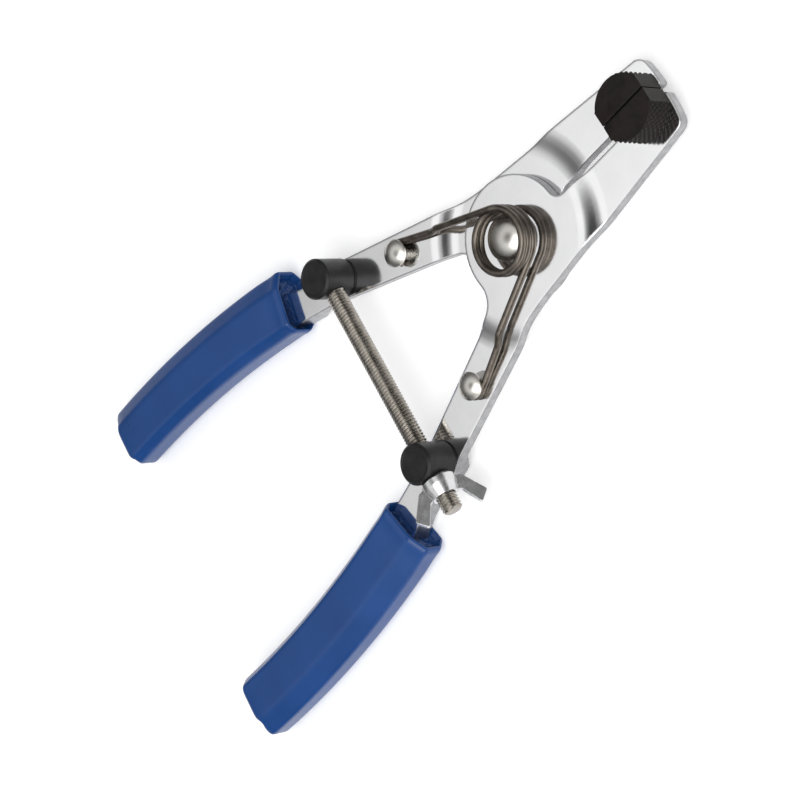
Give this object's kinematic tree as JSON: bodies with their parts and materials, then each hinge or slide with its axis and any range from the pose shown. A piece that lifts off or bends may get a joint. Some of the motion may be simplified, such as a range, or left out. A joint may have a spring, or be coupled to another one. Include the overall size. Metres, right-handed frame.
{
  "type": "piston spreader pliers",
  "caption": "Squeeze-to-spread pliers with knurled half-round jaws that grip inside a hollow piston, a return spring and a wing-nut stop rod between the handles.",
  "frame": {"origin": "on the main pivot axis, in the plane where the two lever plates lie on each other", "axes": "+Y along the tool from pivot to jaws, +X across it toward lever B, +Z along the pivot axis to the side with the spring and rod"},
  "size_m": [0.1216, 0.2354, 0.0225],
  "materials": {
    "chrome_plate": "bright nickel-chrome plate with fine brushing",
    "satin_nickel": "satin nickel plate",
    "spring_steel": "oil-tempered dark spring steel",
    "pad_steel": "hardened brown-black knurled steel",
    "black_oxide": "black oxide",
    "pin_steel": "plain ground steel",
    "rod_steel": "rolled thread, plain steel",
    "zinc_plate": "bright zinc plate",
    "grip_vinyl": "dipped glossy vinyl"
  },
  "bodies": {
    "lever_b_body": {"lever_plate_b": "chrome_plate", "spring_stud_b": "satin_nickel", "jaw_pad_b": "pad_steel", "jaw_screw_b": "black_oxide", "jaw_dowel_b": "pin_steel", "grip_b": "grip_vinyl", "pivot_rivet": "satin_nickel", "pivot_washer": "pin_steel", "torsion_spring": "spring_steel"},
    "lever_a_body": {"lever_plate_a": "chrome_plate", "spring_stud_a": "satin_nickel", "jaw_pad_a": "pad_steel", "jaw_screw_a": "black_oxide", "jaw_dowel_a": "pin_steel", "grip_a": "grip_vinyl"},
    "rod_body": {"trunnion_a": "black_oxide", "trunnion_washer_a": "pin_steel", "trunnion_clip_a": "black_oxide", "threaded_rod": "rod_steel"},
    "swivel_body": {"trunnion_b": "black_oxide", "trunnion_washer_b": "pin_steel", "trunnion_clip_b": "black_oxide"},
    "nut_body": {"wing_nut": "zinc_plate"}
  },
  "joints": [
    {"name": "main_pivot", "type": "hinge", "parent": "lever_b_body", "child": "lever_a_body", "pos_m": [0, 0, 0], "axis": [0, 0, 1], "range_deg": [0, 22], "stiffness_Nm_per_rad": 1.2, "springref_deg": -20.05, "deforming": ["torsion_spring"]},
    {"name": "rod_swivel", "type": "hinge", "parent": "lever_a_body", "child": "rod_body", "pos_m": [-0.03245, -0.0605, 0], "axis": [0, 0, 1], "range_deg": [-12, 1]},
    {"name": "nut_trunnion_swivel", "type": "hinge", "parent": "lever_b_body", "child": "swivel_body", "pos_m": [0.03245, -0.0605, 0], "axis": [0, 0, 1], "range_deg": [-1, 12]},
    {"name": "nut_spin", "type": "hinge", "parent": "rod_body", "child": "nut_body", "pos_m": [0.03795, -0.0605, 0.0072], "axis": [1, 0, 0], "continuous": true}
  ],
  "couplings": [
    {"joint": "rod_swivel", "follows": "main_pivot", "ratio": -0.5},
    {"joint": "nut_trunnion_swivel", "follows": "main_pivot", "ratio": 0.5}
  ]
}
